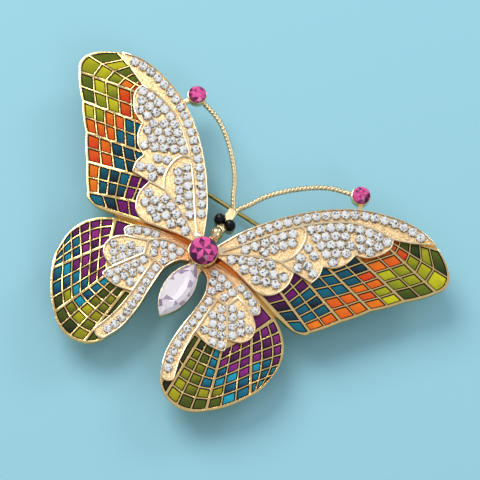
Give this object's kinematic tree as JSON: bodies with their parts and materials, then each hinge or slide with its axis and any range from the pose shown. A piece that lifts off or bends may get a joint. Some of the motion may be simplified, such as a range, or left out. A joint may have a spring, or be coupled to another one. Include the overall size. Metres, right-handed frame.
{
  "type": "brooch",
  "caption": "Butterfly brooch: gold wings with enamel cells and set stones, faceted gems along the body, wire antennae, and a hinged pin with a turning safety catch.",
  "frame": {"origin": "under the middle of the whole brooch, at the height of the lowest point of the pin fittings", "axes": "+X across the wings towards the wearer-side right wing as drawn face up, +Y towards the head, +Z out of the face"},
  "size_m": [0.0844, 0.056, 0.0111],
  "materials": {
    "gold": "soft polished pale gold plating",
    "pale_gold": "bright polished pale champagne gold plating",
    "fittings_gold": "plain bright gold plating",
    "enamel_green": "glossy glass-like enamel",
    "enamel_yellow": "glossy glass-like enamel",
    "enamel_orange": "glossy glass-like enamel",
    "enamel_teal": "glossy glass-like enamel",
    "enamel_blue": "glossy glass-like enamel",
    "enamel_purple": "glossy glass-like enamel",
    "clear_crystal": "faceted foil-backed clear crystal",
    "black_crystal": "faceted opaque black glass",
    "pink_crystal": "faceted foil-backed pink crystal",
    "pale_pink_crystal": "faceted foil-backed pale pink crystal"
  },
  "bodies": {
    "brooch": {"upper_wing_left": "gold", "upper_wing_right": "gold", "lower_wing_left": "gold", "lower_wing_right": "gold", "upper_enamel_green_left": "enamel_green", "upper_enamel_yellow_left": "enamel_yellow", "upper_enamel_orange_left": "enamel_orange", "upper_enamel_teal_left": "enamel_teal", "upper_enamel_purple_left": "enamel_purple", "upper_enamel_green_right": "enamel_green", "upper_enamel_yellow_right": "enamel_yellow", "upper_enamel_orange_right": "enamel_orange", "upper_enamel_teal_right": "enamel_teal", "upper_enamel_purple_right": "enamel_purple", "lower_enamel_green_left": "enamel_green", "lower_enamel_yellow_left": "enamel_yellow", "lower_enamel_blue_left": "enamel_blue", "lower_enamel_purple_left": "enamel_purple", "lower_enamel_green_right": "enamel_green", "lower_enamel_yellow_right": "enamel_yellow", "lower_enamel_blue_right": "enamel_blue", "lower_enamel_purple_right": "enamel_purple", "upper_pave_panel_left": "pale_gold", "upper_pave_panel_right": "pale_gold", "lower_pave_panel_left": "pale_gold", "lower_pave_panel_right": "pale_gold", "upper_strip_stones_left": "clear_crystal", "upper_lobe_stones_left": "clear_crystal", "upper_petal_stones_left": "clear_crystal", "upper_strip_stones_right": "clear_crystal", "upper_lobe_stones_right": "clear_crystal", "upper_petal_stones_right": "clear_crystal", "lower_strip_stones_left": "clear_crystal", "lower_lobe_stones_left": "clear_crystal", "lower_strip_stones_right": "clear_crystal", "lower_lobe_stones_right": "clear_crystal", "spine": "gold", "thorax_drop": "pale_gold", "eye_stones": "black_crystal", "centre_cup": "pale_gold", "centre_stone": "pink_crystal", "marquise_cup": "pale_gold", "marquise_stone": "pale_pink_crystal", "antenna_left": "gold", "antenna_right": "gold", "antenna_cup_left": "pale_gold", "antenna_cup_right": "pale_gold", "antenna_stone_left": "pink_crystal", "antenna_stone_right": "pink_crystal", "hinge_base": "fittings_gold", "hinge_rivet": "fittings_gold", "catch_ring": "fittings_gold"},
    "pin": {"pin_stem": "fittings_gold"},
    "catch": {"catch_sleeve": "fittings_gold"}
  },
  "joints": [
    {"name": "pin_hinge", "type": "hinge", "parent": "brooch", "child": "pin", "pos_m": [0.0145, 0.01193, 0.0021], "axis": [0, -1, 0], "range_deg": [0, 110]},
    {"name": "catch_turn", "type": "hinge", "parent": "brooch", "child": "catch", "pos_m": [-0.0145, 0.01193, 0.0021], "axis": [1, 0, 0], "range_deg": [0, 150]}
  ]
}
